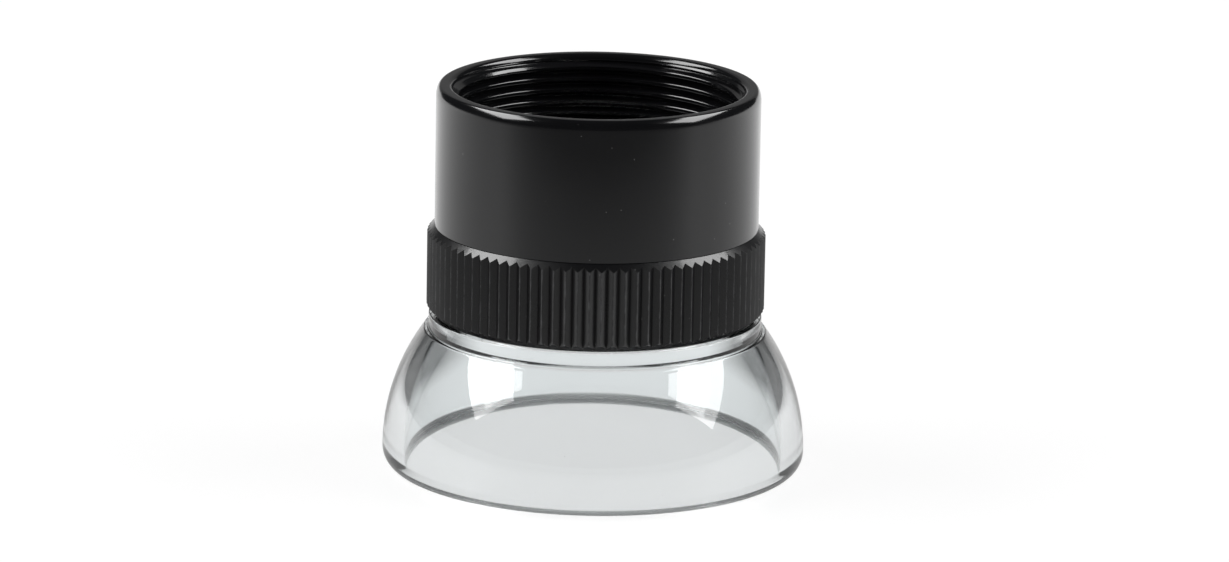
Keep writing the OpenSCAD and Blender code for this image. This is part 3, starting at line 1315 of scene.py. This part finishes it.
@dataclass
class LensStack:
    """Field stop, two plano-convex lenses and their spacer. Millimetres."""

    stop: Span
    field: Span
    spacer: Span
    eye: Span
    curve: float = 25.5
    lens_bevel: float = 0.08
    lens_steps: int = 48
    stop_bore: float = 9.0
    rim_bore: float = 9.3
    spacer_grooves: int = 7
    groove_depth: float = 0.22
    groove_land: float = 0.35

    def lens(self, name: str, span: Span, curved_up: bool, glass: bpy.types.Material) -> bpy.types.Object:
        """Makes one plano-convex lens.

        Args:
            name: Name of the piece.
            span: Where the lens lies.
            curved_up: True if its curved side is uppermost.
            glass: Its finish.

        Returns:
            The piece.
        """
        steps = self.lens_steps
        rim = span.radius
        full = math.asin(rim / self.curve)
        curve = [
            (self.curve * math.sin(full * i / steps), self.curve * (math.cos(full * i / steps) - 1))
            for i in range(steps + 1)
        ]
        thickness = span.high - span.low
        corners = [Corner(r, thickness + drop) for r, drop in curve[:-1]]
        corners += [Corner(curve[-1][0], thickness + curve[-1][1], self.lens_bevel)]
        corners += [Corner(rim, 0.0, self.lens_bevel), Corner(0.0, 0.0)]
        if curved_up:
            placed = [Corner(c.radius, span.low + c.height, c.rounding) for c in corners]
        else:
            placed = [Corner(c.radius, span.high - c.height, c.rounding) for c in corners]
        solid = Solid()
        solid.turn(rounded(placed, closed=False), closed=False)
        return solid.finish(name, glass)

    def rim(self, name: str, span: Span, bore: float, grooves: int,
            black: bpy.types.Material) -> bpy.types.Object:
        """Makes a flat ring of the stack, with grooves inside that swallow stray light.

        Args:
            name: Name of the piece.
            span: Where the ring lies.
            bore: Its inner radius.
            grooves: Number of grooves inside.
            black: Its finish.

        Returns:
            The piece.
        """
        soft = min(0.06, (span.high - span.low) / 5)
        corners = [
            Corner(bore, span.low, soft), Corner(span.radius, span.low, soft),
            Corner(span.radius, span.high, soft), Corner(bore, span.high, soft),
        ]
        land = self.groove_land
        step = (span.high - span.low - 2 * land) / max(grooves, 1)
        for i in range(grooves):
            top = span.high - land - step * i
            corners.append(Corner(bore, top))
            corners.append(Corner(bore + self.groove_depth, top - step * 0.5))
        if grooves:
            corners.append(Corner(bore, span.low + land))
        solid = Solid()
        solid.turn(rounded(corners, closed=True), closed=True)
        return solid.finish(name, black)

    def build(self, glass: bpy.types.Material, coated: bpy.types.Material, matt: bpy.types.Material,
              spacer_black: bpy.types.Material) -> list[bpy.types.Object]:
        """Makes the whole stack.

        Args:
            glass: Finish of the field lens.
            coated: Finish of the eye lens.
            matt: Finish of the stop.
            spacer_black: Finish of the spacer.

        Returns:
            The pieces, from the bottom up.
        """
        stop = self.rim("field_stop_disc", self.stop, self.stop_bore, 0, matt)
        field = self.lens("field_lens_glass", self.field, True, glass)
        spacer = self.rim("spacer_ring", self.spacer, self.rim_bore, self.spacer_grooves, spacer_black)
        eye = self.lens("eye_lens_glass", self.eye, False, coated)
        settle(stop, Body.OPTICS, "field_stop")
        settle(field, Body.OPTICS, "field_lens")
        settle(spacer, Body.OPTICS, "lens_spacer")
        settle(eye, Body.OPTICS, "eye_lens")
        return [stop, field, spacer, eye]


# ---------------------------------------------------------------- studio


@dataclass(frozen=True)
class Softbox:
    """A rectangular studio light that faces the loupe."""

    name: str
    place: tuple[float, float, float]
    size: tuple[float, float]
    power: float
    roll: float = 0.0
    aim: tuple[float, float, float] = (0.0, 0.0, 0.015)

    def build(self) -> bpy.types.Object:
        """Makes the light.

        Returns:
            The light's object.
        """
        light = bpy.data.lights.new(self.name, "AREA")
        light.shape = "RECTANGLE"
        light.size, light.size_y = self.size
        light.energy = self.power
        lamp = bpy.data.objects.new(self.name, light)
        lamp.location = self.place
        facing = (Vector(self.aim) - Vector(self.place)).to_track_quat("-Z", "Y").to_matrix()
        lamp.rotation_euler = (facing @ Matrix.Rotation(math.radians(self.roll), 3, "Z")).to_euler()
        lamp.visible_camera = False
        bpy.context.scene.collection.objects.link(lamp)
        return lamp


@dataclass
class Studio:
    """Floor, lights, surroundings and camera. Metres and degrees."""

    sweep_half: float = 1.2
    backdrop_half: float = 0.55
    sweep_back: float = 0.7
    sweep_height: float = 0.75
    cove: float = 0.3
    cove_steps: int = 12
    surround: Colour = (0.027, 0.0285, 0.03)
    backdrop: Colour = WHITE
    distance: float = 0.6144
    aim_height: float = 0.01566
    elevation: float = 14.277
    roll: float = 0.993
    aim_off: Point = (-0.002664, -0.000713)
    lens: float = 208.6

    def sweep(self, finish: PaleFloor) -> bpy.types.Object:
        """Makes the floor, which curves up into a backdrop far behind the loupe.

        Args:
            finish: Its finish.

        Returns:
            The sheet, which isn't part of the loupe.
        """
        cove = [math.radians(90 * i / self.cove_steps) for i in range(self.cove_steps + 1)]
        line = [(self.sweep_half, -self.sweep_half, 0.0), (self.sweep_half, self.sweep_back - self.cove, 0.0)]
        for a in cove:
            back, rise = self.cove * math.sin(a), self.cove * (1 - math.cos(a))
            line.append((self.backdrop_half, self.sweep_back + back, rise))
        line += [(self.backdrop_half, self.sweep_back + self.cove, self.sweep_height)]
        places = [(side * half, y, z) for half, y, z in line for side in (-1, 1)]
        faces = [(2 * i, 2 * i + 1, 2 * i + 3, 2 * i + 2) for i in range(len(line) - 1)]
        data = bpy.data.meshes.new("floor_sweep")
        data.from_pydata(places, [], faces)
        data.materials.append(finish.build())
        sheet = bpy.data.objects.new("floor_sweep", data)
        bpy.context.scene.collection.objects.link(sheet)
        return sheet

    def world(self) -> None:
        """Makes the surroundings: a pale backdrop for the camera, and a dark room for everything else."""
        world = bpy.data.worlds.new("surroundings")
        world.use_nodes = True
        background = next(n for n in world.node_tree.nodes if n.type == "BACKGROUND")
        s = ShaderTree(world.node_tree)
        seen = s.node("ShaderNodeLightPath").outputs["Is Camera Ray"]
        s.feed(background.inputs["Color"], s.blend(seen, self.surround, self.backdrop))
        background.inputs["Strength"].default_value = 1.0
        bpy.context.scene.world = world

    def camera(self) -> bpy.types.Object:
        """Makes the camera. It looks down on the loupe, a little to its right and rolled.

        Returns:
            The camera.
        """
        rise, lean = math.radians(self.elevation), math.radians(self.roll)
        aim = Vector((0, 0, self.aim_height))
        towards = Vector((0, math.cos(rise), -math.sin(rise)))
        level = Vector((1, 0, 0))
        upright = level.cross(towards)
        right = level * math.cos(lean) + upright * math.sin(lean)
        up = right.cross(towards)
        forward = (towards - right * self.aim_off[0] - up * self.aim_off[1]).normalized()
        right = (right - forward * right.dot(forward)).normalized()
        up = right.cross(forward)
        data = bpy.data.cameras.new("camera")
        data.lens = self.lens
        data.clip_start, data.clip_end = 0.01, 20.0
        camera = bpy.data.objects.new("camera", data)
        camera.matrix_world = Matrix((
            (right.x, up.x, -forward.x, 0), (right.y, up.y, -forward.y, 0),
            (right.z, up.z, -forward.z, 0), (0, 0, 0, 1)))
        camera.location = aim - towards * self.distance
        bpy.context.scene.collection.objects.link(camera)
        bpy.context.scene.camera = camera
        return camera

    def build(self) -> None:
        """Makes everything in the studio."""
        self.camera()
        self.world()
        self.sweep(PaleFloor("pale_floor"))
        for softbox in (
            Softbox("left_softbox", (-0.403, -0.02, 0.370), (0.56, 0.25), 3.5, roll=-32),
            Softbox("right_softbox", (0.418, -0.02, 0.353), (0.56, 0.25), 3.1, roll=32),
        ):
            softbox.build()
        bpy.context.scene.view_settings.view_transform = "Standard"


def main() -> None:
    """Builds the loupe and the studio, and reports each piece."""
    logging.basicConfig(level=logging.INFO, format="%(name)s: %(message)s")
    Studio().build()
    effects = Effects()
    trees = Trees(thread_tree(), knurl_tree(columns=16))
    barrel = Span.of("barrel_tube")
    ring = Span.of("knurled_ring")
    retainer = Span.of("retaining_ring")

    BellSkirt(Span.of("clear_skirt")).build(trees, Acrylic("clear_acrylic").build(effects))
    # The knurl's crests, the barrel's lip and the retainer's inner bevel get a lighter edge: partly wear,
    # partly a painted glint.
    knurl_black = Anodised("black_knurl", roughness=0.30, edge=(ring.radius, 0.0), edge_width=0.05,
                           edge_kind=EdgeGlintAndWear.CYLINDER, glint_and_wear=0.25)
    FocusRing(ring, barrel.low).build(trees, knurl_black.build(effects))
    barrel_black = Anodised("black_barrel", edge=(barrel.radius - 0.1, barrel.high - 0.1), glint_and_wear=0.15)
    LensBarrel(barrel, ring.high, retainer.low).build(trees, barrel_black.build(effects))
    matt = Anodised("black_retainer", roughness=0.42, edge=(9.6, retainer.high), glint_and_wear=0.1)
    Retainer(retainer).build(trees, matt.build(effects))
    stack = LensStack(*map(Span.of, ("field_stop", "field_lens", "lens_spacer", "eye_lens")))
    stack.build(
        LensGlass("lens_glass").build(effects),
        LensGlass("coated_glass", reflection=(0.55, 0.5, 1.0)).build(effects),
        Anodised("black_stop", colour=(0.008, 0.008, 0.008), roughness=0.8, index=1.3,
                 glint_and_wear=0.0).build(effects),
        Anodised("black_spacer", roughness=0.5, glint_and_wear=0.0).build(effects),
    )


if __name__ == "__main__":
    main()
